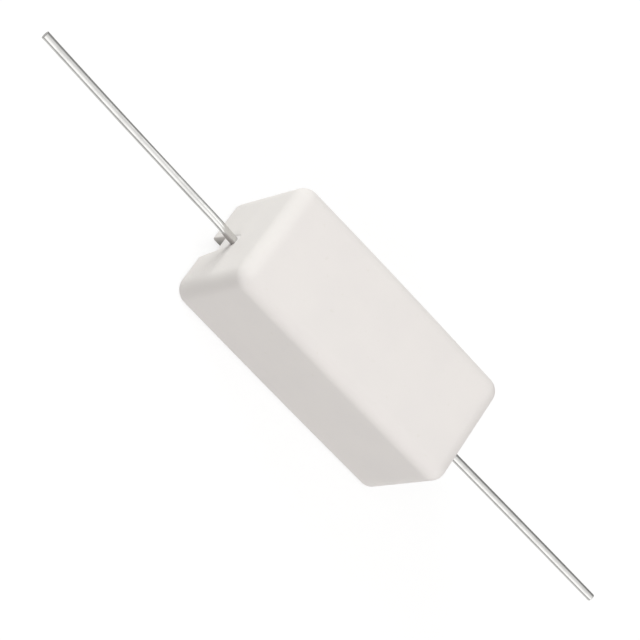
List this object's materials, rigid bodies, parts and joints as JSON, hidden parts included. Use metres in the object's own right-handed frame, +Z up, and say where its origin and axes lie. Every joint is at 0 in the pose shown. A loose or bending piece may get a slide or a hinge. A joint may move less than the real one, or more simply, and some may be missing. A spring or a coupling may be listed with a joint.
{
  "type": "axial resistor",
  "caption": "Wirewound power resistor in a rounded white ceramic case filled with cement, with a straight tinned wire lead out of a notch in each end.",
  "frame": {"origin": "middle of the case's open side, on the surface that the part stands on", "axes": "+Z up out of the roof, +X along the leads towards the right lead, +Y across the case"},
  "size_m": [0.0602, 0.0096, 0.009],
  "materials": {
    "case_ceramic": "fired, unglazed, matt off-white",
    "potting_cement": "fine-grained white cement, matt, slightly uneven",
    "core_fibre": "pale yellow rod, matt",
    "resistance_wire": "drawn resistance alloy wire, lightly oxidised",
    "cap_steel": "drawn and nickel plated sheet steel",
    "tinned_wire": "bright tinned copper wire"
  },
  "bodies": {
    "root": {"ceramic_case": "case_ceramic", "cement_fill": "potting_cement", "core_rod": "core_fibre", "resistance_winding": "resistance_wire", "end_cap_left": "cap_steel", "end_cap_right": "cap_steel", "lead_left": "tinned_wire", "lead_right": "tinned_wire"}
  },
  "joints": []
}
